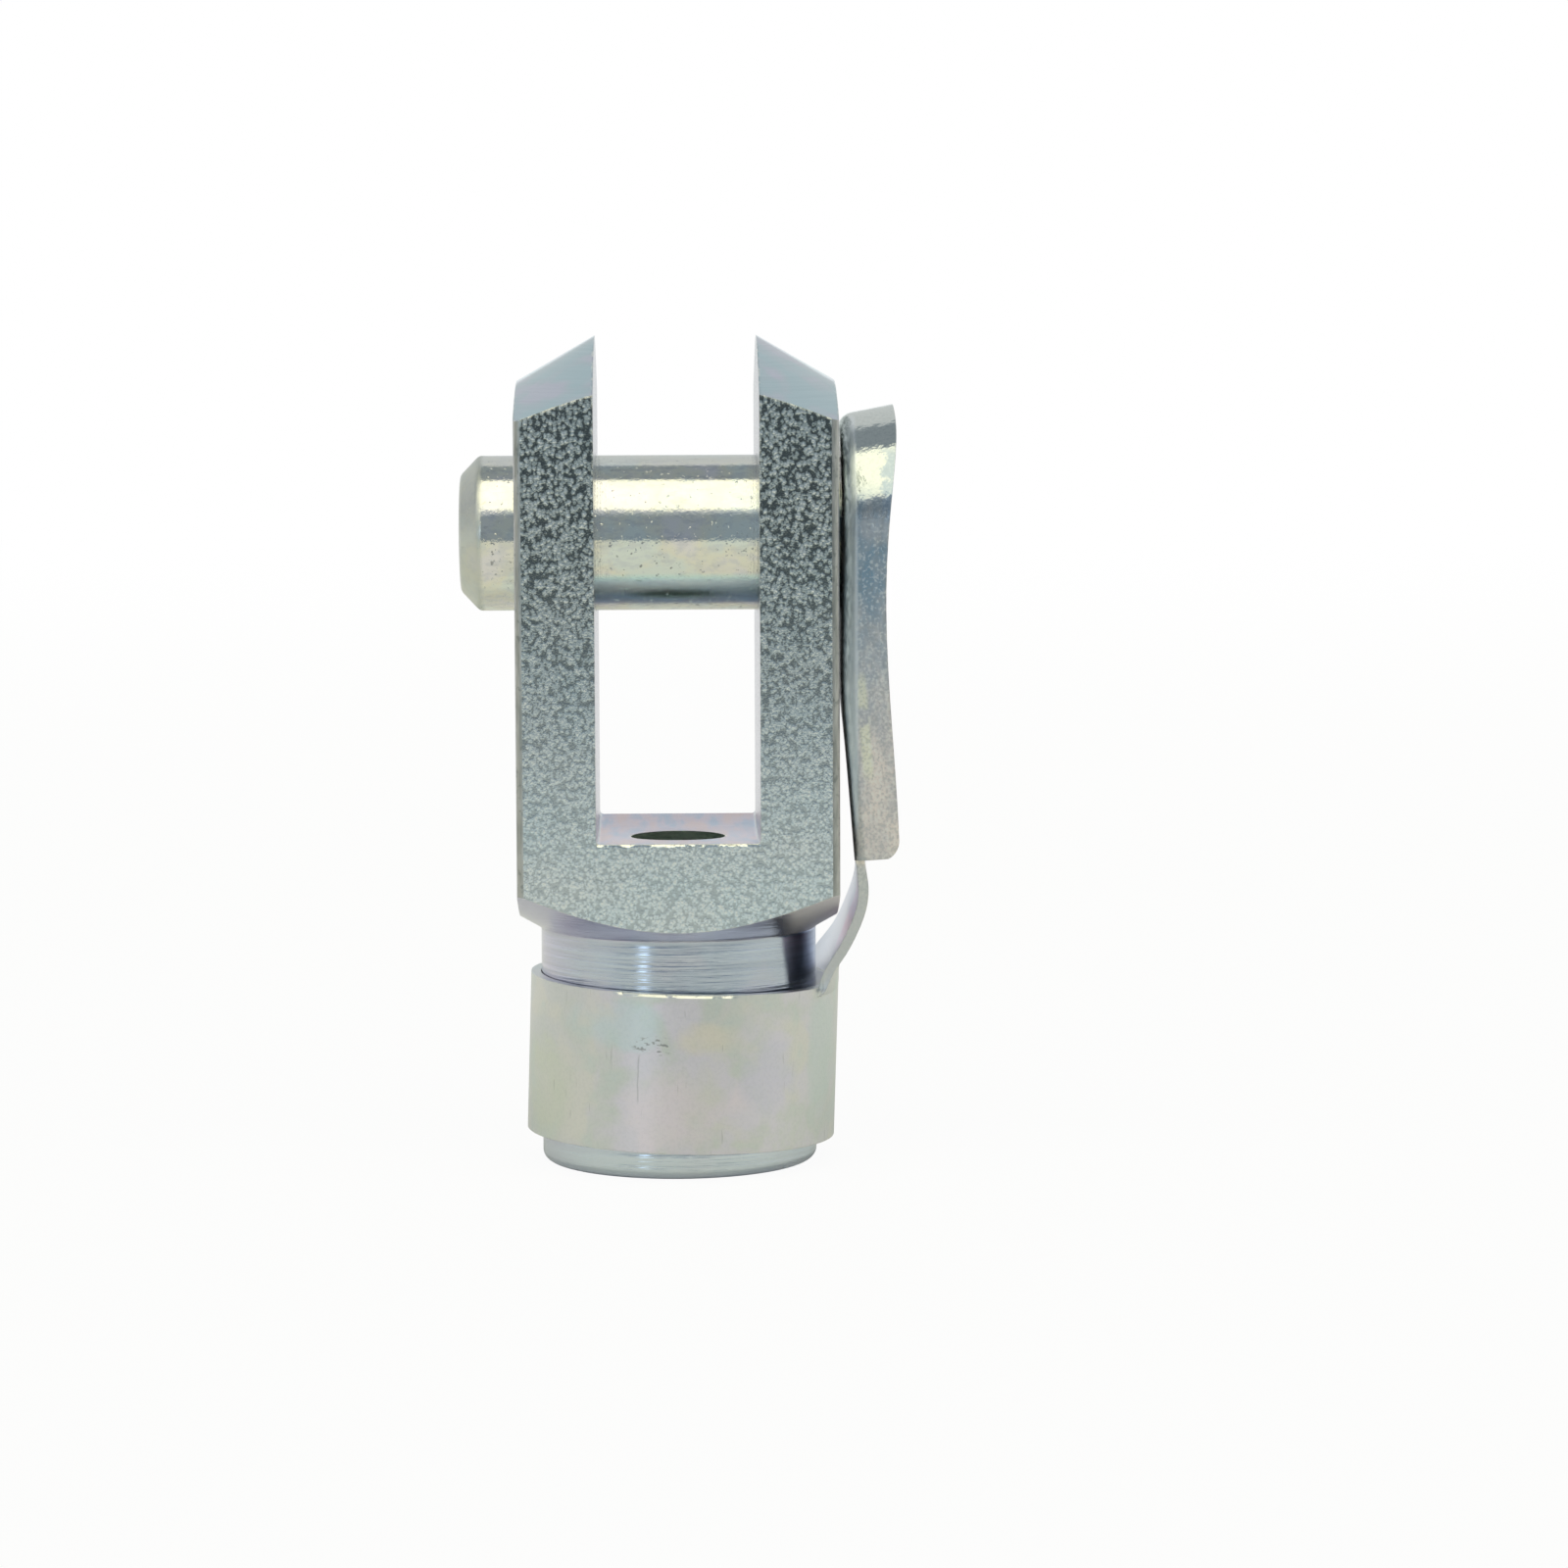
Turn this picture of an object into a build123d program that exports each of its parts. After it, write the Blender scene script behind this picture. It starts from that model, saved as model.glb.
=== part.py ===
from build123d import *
from math import asin, cos, radians, sin, sqrt, tan
import os

# Clevis fork head with a snap-on spring clip, as screwed to the end of a gas strut or pneumatic rod.
# Millimetres. The origin is the centre of the neck's end face, +Z runs up the fork, the clevis pin
# lies along X and the slot is open towards -Y and +Y.

# Fork: a square bar turned at both ends
bar_width = 16.0
bar_edge_radius = 0.4
fork_length = 42.0
neck_diameter = bar_width * 7 / 8
neck_length = 12.0
neck_end_radius = 0.5
neck_root_radius = 0.3
turned_slope = 30.0
top_circle_radius = 4.0

# Fork: the slot, milled by a large disc cutter that leaves a shallow hollow in the floor
slot_width = 8.15
slot_floor = 16.5
slot_cutter_radius = 80.0
slot_cutter_shift = 1.0
slot_corner_radius = 0.2

# Fork: the tapped bore for the rod, left at its drill size
bore_diameter = 6.8
bore_floor_gap = 0.6
drill_point_angle = 118.0
bore_mouth_diameter = 8.6

# Clevis pin
pin_to_top = 10.0
pin_height = fork_length - pin_to_top
pin_diameter = 7.84
pin_running_clearance = 0.08
pin_free_end = 2.9
pin_bevel_length = 0.95
pin_bevel_depth = 1.0
pin_bevel_round = 0.45
pin_hole_chamfer = 0.4
shoulder_chamfer = 0.15

# Rivet that holds the clip on the pin
tenon_diameter = 5.0
rivet_diameter = 5.9
rivet_height = 0.95
rivet_round = 0.35
rivet_dimple_diameter = 3.0
rivet_dimple_depth = 0.5
rivet_clearance = 0.03

# Spring clip: the sheet, and the round head with its rim
sheet = 0.5
clip_side_gap = 0.22
head_flat_radius = 5.25
rim_bend_radius = 0.8
rim_splay = 11.0
rim_blank_height = 3.4

# Spring clip: the leaf below the head. It is bent outward, and twisted by the load of the clasp.
leaf_straight_drop = 6.5
leaf_bend_radius = 28.0
leaf_tilt = 5.3
leaf_twist = 2.2

# Spring clip: the flanges on the leaf, which end above the tongue
flange_end = 15.87
flange_corner_radius = 1.05

# Spring clip: how far the rim and flanges stand out from the back of the sheet, from the top down
rim_top_edge = 2.74
rim_crown = 2.77
rim_shoulder = 2.67
rim_at_pin = 2.32
flange_waist = 2.14
flange_middle = 2.22
flange_foot = 2.02

# Spring clip: height of the rim's shoulder above the pin's axis
rim_shoulder_height = 4.0

# Spring clip: the tongue from the leaf down into the clasp
kink_drop = 2.0
kink_bend_radius = 4.0
foot_rise = 1.0
foot_bend_radius = 3.0
waist_half_width = 4.7
foot_front_width = 4.05
foot_rear_width = 5.2
root_depth = 0.5
root_front_width = 4.2
root_rear_width = 5.1
root_sheet = 0.3

# Spring clip: the clasp round the neck
clasp_clearance = 0.35
clasp_height = 8.0
clasp_middle_height = 5.45
clasp_shift = 0.18
clasp_tilt = 1.8
clasp_rear_corner = 44.0
clasp_lip_bend_radius = 0.8
clasp_lip_turn = 84.0
clasp_lip_length = 2.2
clasp_lip_taper = 1.1
clasp_lip_corner_radius = 0.8
clasp_flat_start = 155.0
clasp_flat_length = 3.0
clasp_toe_turn = 15.0
clasp_toe_bend_radius = 1.5
clasp_toe_length = 0.6

# Places that follow from the sizes above
half_bar = bar_width / 2
neck_radius = neck_diameter / 2
pin_radius = pin_diameter / 2
pin_hole_radius = pin_radius + pin_running_clearance
web_back = half_bar + clip_side_gap
web_front = web_back + sheet
leaf_top = pin_height - leaf_straight_drop
clasp_mid_radius = neck_radius + clasp_clearance + sheet / 2
slope = tan(radians(turned_slope))


# Modelling values: how far a cutting shape runs past what it cuts, and the bow of a sheet taken as flat
overrun = 1.0
flat_bow = 0.001
bow_stations = 7


def turned_outline():
    """Half section of the fork before the flats and the slot, revolved about Z."""
    reach = bar_width
    under = neck_length + (reach - neck_radius) * slope
    over = fork_length - (reach - top_circle_radius) * slope
    points = [
        (0, 0),
        (neck_radius, 0),
        (neck_radius, neck_length),
        (reach, under),
        (reach, over),
        (top_circle_radius, fork_length),
        (0, fork_length),
    ]
    face = make_face(Plane.XZ * Polyline(*points, close=True))
    end_edge = face.vertices().sort_by_distance((neck_radius, 0, 0))[0]
    face = fillet(end_edge, neck_end_radius)
    root = face.vertices().sort_by_distance((neck_radius, 0, neck_length))[0]
    return fillet(root, neck_root_radius)


def square_bar():
    """The drawn bar that the fork is cut from."""
    section = RectangleRounded(bar_width, bar_width, bar_edge_radius)
    return extrude(section, fork_length)


def slot_cutter():
    """The space of the slot, with the hollow floor that a disc cutter leaves."""
    reach = half_bar + overrun
    top = fork_length + overrun
    centre = slot_floor + slot_cutter_radius

    def floor_at(y):
        return centre - sqrt(slot_cutter_radius ** 2 - (y - slot_cutter_shift) ** 2)

    front = (-reach, floor_at(-reach))
    middle = (slot_cutter_shift, slot_floor)
    rear = (reach, floor_at(reach))
    outline = ThreePointArc(front, middle, rear) + Polyline(rear, (reach, top), (-reach, top), front)
    side = Plane.YZ * make_face(outline)
    body = extrude(side, slot_width / 2, both=True)
    sides = body.edges().filter_by(GeomType.CIRCLE).sort_by(Axis.X)
    return fillet([sides[0], sides[-1]], slot_corner_radius)


def rod_bore():
    """Tapped bore at its drill size: a countersunk mouth, and a drill point that just opens into the slot."""
    radius = bore_diameter / 2
    mouth = bore_mouth_diameter / 2
    full_depth = slot_floor - bore_floor_gap
    point = radius / tan(radians(drill_point_angle / 2))
    points = [
        (0, 0),
        (mouth, 0),
        (radius, mouth - radius),
        (radius, full_depth),
        (0, full_depth + point),
    ]
    return revolve(make_face(Plane.XZ * Polyline(*points, close=True)), Axis.Z)


def pin_hole():
    """Cross hole for the pin, with a chamfer on the outer face of each ear."""
    mouth = pin_hole_radius + pin_hole_chamfer
    points = [
        (-half_bar, 0),
        (-half_bar, mouth),
        (-half_bar + pin_hole_chamfer, pin_hole_radius),
        (half_bar - pin_hole_chamfer, pin_hole_radius),
        (half_bar, mouth),
        (half_bar, 0),
    ]
    face = make_face(Plane.XZ * Polyline(*points, close=True))
    return Pos(0, 0, pin_height) * revolve(face, Axis.X)


def clevis_fork():
    turned = revolve(turned_outline(), Axis.Z)
    return (turned & square_bar()) - slot_cutter() - rod_bore() - pin_hole()


def clip_pin():
    """Pin, shoulder, tenon and rivet head, turned about X."""
    free_end = -half_bar - pin_free_end
    shoulder = web_back - rivet_clearance
    rivet_back = web_front + rivet_clearance
    rivet_top = rivet_back + rivet_height
    rivet_radius = rivet_diameter / 2
    end_corner = (free_end, pin_radius - pin_bevel_depth)
    bevel_corner = (free_end + pin_bevel_length, pin_radius)
    rivet_corner = (rivet_top, rivet_radius)
    dimple_corner = (rivet_top, rivet_dimple_diameter / 2)
    dimple_foot = (rivet_top - rivet_dimple_depth, rivet_dimple_diameter / 4)
    points = [
        (free_end, 0),
        end_corner,
        bevel_corner,
        (shoulder - shoulder_chamfer, pin_radius),
        (shoulder, pin_radius - shoulder_chamfer),
        (shoulder, tenon_diameter / 2),
        (rivet_back, tenon_diameter / 2),
        (rivet_back, rivet_radius),
        rivet_corner,
        dimple_corner,
        dimple_foot,
        (dimple_foot[0], 0),
    ]
    face = make_face(Plane.XZ * Polyline(*points, close=True))
    rounds = [
        (end_corner, pin_bevel_round),
        (bevel_corner, pin_bevel_round),
        (rivet_corner, rivet_round),
        (dimple_corner, rivet_round / 2),
        (dimple_foot, rivet_round / 2),
    ]
    for (x, z), radius in rounds:
        vertex = face.vertices().sort_by_distance((x, 0, z))[0]
        face = fillet(vertex, radius)
    return Pos(0, 0, pin_height) * revolve(face, Axis.X)


def strip(start, heading, moves):
    """Section of bent sheet: follows the middle of the sheet from start, along straight runs and bends.

    A move is (length,) for a run or (radius, turn) for a bend, with turns to the left positive."""
    left = []
    right = []
    place = Vector(*start)
    angle = heading
    half = sheet / 2

    def beside(point, direction, offset):
        return point + Vector(-sin(radians(direction)), cos(radians(direction))) * offset

    for move in moves:
        if len(move) == 1:
            end = place + Vector(cos(radians(angle)), sin(radians(angle))) * move[0]
            left.append(Line(beside(place, angle, half), beside(end, angle, half)))
            right.append(Line(beside(place, angle, -half), beside(end, angle, -half)))
            place = end
        else:
            radius, turn = move
            side = radius if turn > 0 else -radius
            centre = beside(place, angle, side)
            stations = [beside(centre, angle + turn * share, -side) for share in (0, 0.5, 1)]
            for edges, offset in ((left, half), (right, -half)):
                arc = [beside(p, angle + turn * k, offset) for p, k in zip(stations, (0, 0.5, 1))]
                edges.append(ThreePointArc(*arc))
            place = stations[2]
            angle += turn
    first = Line(left[0] @ 0, right[0] @ 0)
    last = Line(left[-1] @ 1, right[-1] @ 1)
    return make_face(Curve() + left + right + [first, last])


def channel_half():
    """Half section of the leaf: half of the web and one flange, drawn in (across, outward)."""
    bend = rim_bend_radius - sheet / 2
    moves = [(head_flat_radius,), (bend, 90 - rim_splay), (rim_blank_height,)]
    return strip((0, sheet / 2), 0, moves)


def head_dish():
    """Round head: the half section turned half round about the pin axis."""
    start = Plane(origin=(web_back, 0, pin_height), x_dir=(0, 1, 0), z_dir=(0, 0, -1))
    axis = Axis((0, 0, pin_height), (1, 0, 0))
    return revolve(start * channel_half(), axis, 180)


def leaf_back(height):
    """Distance of the leaf's back from the fork's axis at a height."""
    tilt = radians(leaf_tilt)
    drop = max(leaf_top - height, 0)
    bend_drop = leaf_bend_radius * sin(tilt)
    if drop < bend_drop:
        return web_back + leaf_bend_radius - sqrt(leaf_bend_radius ** 2 - drop ** 2)
    return web_back + leaf_bend_radius * (1 - cos(tilt)) + (drop - bend_drop) * tan(tilt)


def leaf_path():
    """Back of the leaf from the pin axis down to the end of the flanges."""
    bend_drop = leaf_bend_radius * sin(radians(leaf_tilt))
    bend_half = leaf_top - leaf_bend_radius * sin(radians(leaf_tilt / 2))
    bend_end = leaf_top - bend_drop

    def on_back(height):
        return (leaf_back(height), height)

    top = Line(on_back(pin_height), on_back(leaf_top))
    bend = ThreePointArc(on_back(leaf_top), on_back(bend_half), on_back(bend_end))
    return Plane.XZ * (Curve() + [top, bend, Line(on_back(bend_end), on_back(flange_end))])


def leaf_plane(tilt, twist, origin):
    """Plane across the leaf: local x runs to the rear, local y outward."""
    tilt = radians(tilt)
    twist = radians(twist)
    across = (sin(twist) * cos(tilt), cos(twist), sin(twist) * sin(tilt))
    return Plane(origin=origin, x_dir=across, z_dir=(sin(tilt), 0, -cos(tilt)))


def leaf_foot():
    """Plane across the leaf where the flanges end."""
    end = leaf_path() @ 1
    return leaf_plane(leaf_tilt, leaf_twist, end)


def clip_leaf():
    """Leaf with its two flanges, swept down along the back of the leaf with an even twist."""
    half = channel_half()
    section = half + mirror(half, Plane.YZ)
    start = leaf_plane(0, 0, (web_back, 0, pin_height))
    path = Wire(leaf_path().edges())
    return sweep([start * section, leaf_foot() * section], path=path, multisection=True)


def flange_envelope():
    """Side view of the head and flanges, wide along Y: what lies outside it is trimmed off the blank."""
    top = pin_height + head_flat_radius + rim_bend_radius + sheet / 2
    low_middle = (leaf_top + flange_end) / 2
    stations = [
        (top, rim_top_edge),
        (pin_height + head_flat_radius, rim_crown),
        (pin_height + rim_shoulder_height, rim_shoulder),
        (pin_height + rim_bend_radius, rim_at_pin),
        ((pin_height + leaf_top) / 2, flange_waist),
        (low_middle, flange_middle),
        (flange_end, flange_foot),
    ]
    edge = Spline(*[(leaf_back(height) + out, height) for height, out in stations])
    above = (leaf_back(top) + rim_top_edge, top + rim_blank_height)
    foot = edge @ 1
    back = web_back - bar_width / 2
    rest = Polyline(foot, (back, flange_end), (back, above[1]), above, edge @ 0)
    face = make_face(edge + rest)
    corner = face.vertices().sort_by_distance(foot)[0]
    face = fillet(corner, flange_corner_radius)
    return extrude(Plane.XZ * face, bar_width, both=True)


def tongue_path():
    """Middle of the sheet on the clip's centre line: leaf, kink, slant, then down inside the clasp's wall."""
    tilt = radians(leaf_tilt)
    start = leaf_foot().from_local_coords((0, sheet / 2, 0))
    kink = (start.X + kink_drop * tan(tilt), start.Z - kink_drop)
    wall = clasp_frame().offset(clasp_height)
    foot = wall.from_local_coords((clasp_mid_radius, 0, foot_rise))
    root = wall.from_local_coords((clasp_mid_radius, 0, -root_depth))
    corners = [(start.X, start.Z), kink, (foot.X, foot.Z), (root.X, root.Z)]
    return Plane.XZ * FilletPolyline(*corners, radius=[kink_bend_radius, foot_bend_radius])


def bowed_strip(front, rear, radius, thickness):
    """Section of sheet bowed outward to a radius, from across = -front to across = rear."""
    outer = []
    inner = []
    for station in range(bow_stations):
        across = -front + (front + rear) * station / (bow_stations - 1)
        angle = asin(across / radius)
        for points, offset in ((outer, thickness / 2), (inner, -thickness / 2)):
            reach = radius + offset
            points.append((reach * sin(angle), reach * cos(angle) - radius))
    outer = Spline(*outer)
    inner = Spline(*inner)
    ends = [Line(outer @ 0, inner @ 0), Line(outer @ 1, inner @ 1)]
    return make_face(Curve() + [outer, inner] + ends)


def clip_tongue():
    """Sheet between the leaf and the clasp: flat at the kink, bowed into the clasp's wall below."""
    edges = tongue_path().edges().sort_by(Axis.Z, reverse=True)
    high, kink, slant, foot, low = edges
    top = high @ 0
    kink_end = kink @ 1
    slant_middle = slant @ 0.5
    foot_end = foot @ 1
    bottom = low @ 1
    sections = []
    places = [(high, 0), (kink, 0), (kink, 0.5), (kink, 1), (slant, 0.5), (foot, 0), (foot, 0.5), (foot, 1)]
    for edge, share in places:
        point = edge @ share
        direction = edge % share
        to_waist = min(1, (top.Z - point.Z) / (top.Z - kink_end.Z))
        to_foot = max(0, (kink_end.Z - point.Z) / (kink_end.Z - foot_end.Z))
        bow = max(0, (slant_middle.Z - point.Z) / (slant_middle.Z - bottom.Z))
        radius = clasp_mid_radius / max(bow ** 2, flat_bow)
        front = head_flat_radius + (waist_half_width - head_flat_radius) * to_waist
        rear = front + (foot_rear_width - waist_half_width) * to_foot
        front += (foot_front_width - waist_half_width) * to_foot
        twist = radians(leaf_twist) * (1 - to_waist)
        across = (-sin(twist) * direction.Z, cos(twist), sin(twist) * direction.X)
        plane = Plane(origin=point, x_dir=across, z_dir=direction)
        sections.append(plane * bowed_strip(front, rear, radius, sheet))
    root_plane = Plane(origin=bottom, x_dir=(0, 1, 0), z_dir=low % 1)
    root = root_plane * bowed_strip(root_front_width, root_rear_width, clasp_mid_radius, root_sheet)
    return loft(sections + [root])


def clasp_frame():
    """Plane of the clasp's lower edge. The clasp leans a little on the neck."""
    lean = Location((clasp_shift, 0, clasp_middle_height), (0, clasp_tilt, 0))
    return Plane(lean * Location((0, 0, -clasp_height / 2)))


def clasp_band():
    """Open ring that snaps round the neck, with a flared lip at one end and a turned toe at the other."""
    radius = clasp_mid_radius
    begin = radians(clasp_flat_start)
    start = (radius * cos(begin), radius * sin(begin))
    round_turn = 360 - clasp_flat_start + clasp_rear_corner
    long_part = strip(start, clasp_flat_start + 90, [(radius, round_turn)])
    toe_bend = clasp_toe_bend_radius
    toe_moves = [(clasp_flat_length,), (toe_bend, clasp_toe_turn), (clasp_toe_length,)]
    toe = strip(start, clasp_flat_start - 90, toe_moves)
    end = radians(clasp_rear_corner)
    lip_start = (radius * cos(end), radius * sin(end))
    lip_moves = [(clasp_lip_bend_radius, -clasp_lip_turn), (clasp_lip_length,)]
    lip = strip(lip_start, clasp_rear_corner + 90, lip_moves)
    frame = clasp_frame()
    ring = extrude(frame * (long_part + toe), clasp_height)
    return ring + (extrude(frame * lip, clasp_height) & lip_envelope(frame))


def lip_envelope(frame):
    """Side view of the flared lip: narrower at the top, with rounded corners."""
    inner = clasp_mid_radius - sheet
    outer = clasp_mid_radius + clasp_lip_bend_radius + clasp_lip_length
    reach = bar_width
    outline = Polyline(
        (inner, 0),
        (outer, 0),
        (outer - clasp_lip_taper, clasp_height),
        (inner, clasp_height),
        close=True,
    )
    face = make_face(outline)
    low = face.vertices().sort_by_distance((outer, 0, 0))[0]
    face = fillet(low, clasp_lip_corner_radius)
    high = face.vertices().sort_by_distance((outer - clasp_lip_taper, clasp_height, 0))[0]
    face = fillet(high, clasp_lip_corner_radius / 2)
    heading = clasp_rear_corner + 90 - clasp_lip_turn
    side = Plane(origin=(0, 0, 0), x_dir=(cos(radians(heading)), sin(radians(heading)), 0),
                 z_dir=(sin(radians(heading)), -cos(radians(heading)), 0))
    return frame.location * extrude(side * face, reach, both=True)


def clip_spring():
    """The whole clip, folded from one blank."""
    upper = (head_dish() + clip_leaf()) & flange_envelope()
    clip = upper + clip_tongue() + clasp_band()
    hole = Cylinder(tenon_diameter / 2 + rivet_clearance, sheet + 2 * overrun, rotation=(0, 90, 0))
    return clip - Pos(web_back + sheet / 2, 0, pin_height) * hole


os.makedirs("parts", exist_ok=True)
nodes = {
    "clevis_fork": clevis_fork(),
    "clip_pin": clip_pin(),
    "clip_spring": clip_spring(),
}
for name, shape in nodes.items():
    solid = shape.solid()
    print(name, round(solid.volume, 2), "mm3")
    export_step(solid, f"parts/{name}.step")
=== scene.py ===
import math

import bmesh
import bpy
from mathutils import Matrix, Vector


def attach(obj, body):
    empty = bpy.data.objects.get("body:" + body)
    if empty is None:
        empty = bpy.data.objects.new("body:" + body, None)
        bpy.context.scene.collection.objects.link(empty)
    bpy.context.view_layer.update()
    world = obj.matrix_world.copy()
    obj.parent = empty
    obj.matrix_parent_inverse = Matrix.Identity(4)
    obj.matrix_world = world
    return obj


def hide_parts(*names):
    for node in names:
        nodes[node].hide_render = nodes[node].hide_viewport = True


MM = 0.001

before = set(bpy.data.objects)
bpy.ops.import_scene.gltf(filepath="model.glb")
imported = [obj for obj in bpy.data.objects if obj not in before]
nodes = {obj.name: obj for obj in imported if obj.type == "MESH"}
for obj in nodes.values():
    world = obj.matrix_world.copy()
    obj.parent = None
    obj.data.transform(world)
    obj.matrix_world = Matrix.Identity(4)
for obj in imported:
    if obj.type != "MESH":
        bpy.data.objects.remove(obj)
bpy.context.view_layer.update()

# Camera at the photograph's place
CAMERA_PLACE = (-0.44, -250.0, 44.9)
CAMERA_YAW = -1.34
CAMERA_PITCH = 5.88
CAMERA_ROLL = -0.22
FOCAL_PIXELS = 5034
FRAME_PIXELS = 1600
SENSOR = 36.0

# Fork sizes that the materials follow, in millimetres
SLOT_HALF = 4.075
SLOT_FLOOR = 16.5
SLOT_MOUTH = 17.0
BAR_HALF = 8.0
EDGE_ROUND = 0.45
PIN_HEIGHT = 32.0
BORE_ZONE = 4.35

# Places on the parts where a finish, tint, painted shade or painted glints fade in, from none to full,
# in millimetres
COARSE_GRAIN_AND_SHADE = (15.0, 35.0)
WIDER_EDGES = (33.5, 35.5)
NECK_FOOT = (1.6, 0.9)
CONE_TIP = (41.7, 41.3)
PIN_BEVEL = (-9.62, -9.90)
RIVET_HEAD = (8.6, 9.0)
LEAF_START = (14.5, 16.5)
RIM_START = (32.6, 34.0)

# Depths of relief in millimetres
GRAIN_DEPTH = 0.020
DRAWN_DEPTH = 0.03
RINGS_DEPTH = 0.032
DRILLED_DEPTH = 0.03
MILLED_DEPTH = 0.02
PIN_LINES_DEPTH = 0.010
PIN_SKIN_DEPTH = 0.008
SHEET_DEPTH = 0.022
BURR_DEPTH = 0.15
ROLLED_DEPTH = 0.14

# Height of the clasp's top edge at the front, and how much it falls to the right
CLASP_TOP = 9.46
CLASP_LEAN = 0.031

# Marks on the clasp's front: a group of dents, and a score line left of the middle between two heights
DENTS_MIDDLE = (-1.2, 6.9)
DENTS_REACH = (1.1, 0.45)
SCORE_ACROSS = 2.15
SCORE_LOW = 4.3
SCORE_HIGH = 6.2

# Cream streak on the leaf: height where it is measured across, and its lean from there
STREAK_HEIGHT = 24.8
STREAK_LEAN = 0.08

# Stains on the clasp's front: middle and reach across and up in millimetres, strength, tint
STAINS = (
    ((-3.4, 7.9), (2.6, 1.5), 0.60, (0.70, 0.83, 0.87)),
    ((-6.2, 4.2), (1.9, 3.4), 0.60, (0.79, 0.81, 0.70)),
    ((1.7, 7.2), (1.9, 1.1), 0.75, (0.92, 0.85, 0.75)),
    ((0.2, 3.6), (3.4, 2.4), 0.75, (0.94, 0.84, 0.92)),
    ((4.7, 5.4), (1.9, 2.4), 0.65, (0.77, 0.75, 0.89)),
    ((7.0, 6.0), (0.9, 3.5), 0.60, (0.72, 0.80, 0.80)),
)

# Grain of the drawn flats, in cells per millimetre
GRAIN_SCALE = 4.9

# Cream of the painted glints on edges, and white of the plain background
BURNISHED_GLINT = (1.0, 0.99, 0.92)
WHITE = (1.0, 1.0, 1.0)

# Thread of the rod hole: radii and heights in millimetres, steps in a turn, half the angle between
# its flanks in degrees, and the share of its depth that the last turn runs out to
PITCH = 1.25
THREAD_ROOT = 4.0
THREAD_INNER = 3.2
THREAD_START = -0.6
THREAD_END = 14.2
THREAD_STEPS = 48
THREAD_FLANK = 30.0
THREAD_LEAST = 0.02

# Mesh of the fork: edges steeper than this are sharp, and vertices nearer than this in metres are one
SHARP_ANGLE = 30.0
WELD = 1e-7

# Floor in metres: half its width, its front edge and its far edge
FLOOR_SIDE = 3.0
FLOOR_NEAR = -0.2
FLOOR_FAR = 3.0

# Studio: the room's own brightness, and what each light or dark place adds to it
ROOM_LEVEL = 0.64
SOFTBOX_LEVEL = 0.72
STRIP_LEVEL = 1.8
BACKDROP_LEVEL = 0.36
DARK_FRONT_LEVEL = -0.36
OVERHEAD_LEVEL = -0.37
LEFT_LEVEL = -0.05


def make_camera():
    """Camera of the photograph, turned by yaw, pitch and roll in degrees."""
    yaw, pitch, roll = (math.radians(a) for a in (CAMERA_YAW, CAMERA_PITCH, CAMERA_ROLL))
    right = Vector((math.cos(yaw), math.sin(yaw), 0))
    level = Vector((-math.sin(yaw), math.cos(yaw), 0))
    up = Vector((0, 0, 1))
    ahead = math.cos(pitch) * level - math.sin(pitch) * up
    above = math.sin(pitch) * level + math.cos(pitch) * up
    side = math.cos(roll) * right + math.sin(roll) * above
    top = -math.sin(roll) * right + math.cos(roll) * above
    data = bpy.data.cameras.new("camera")
    data.sensor_width = SENSOR
    data.lens = FOCAL_PIXELS / FRAME_PIXELS * SENSOR
    data.clip_start = 0.005
    data.clip_end = 20
    camera = bpy.data.objects.new("camera", data)
    bpy.context.scene.collection.objects.link(camera)
    turn = Matrix((side, top, -ahead)).transposed().to_4x4()
    camera.matrix_world = Matrix.Translation(Vector(CAMERA_PLACE) * MM) @ turn
    bpy.context.scene.camera = camera


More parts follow.
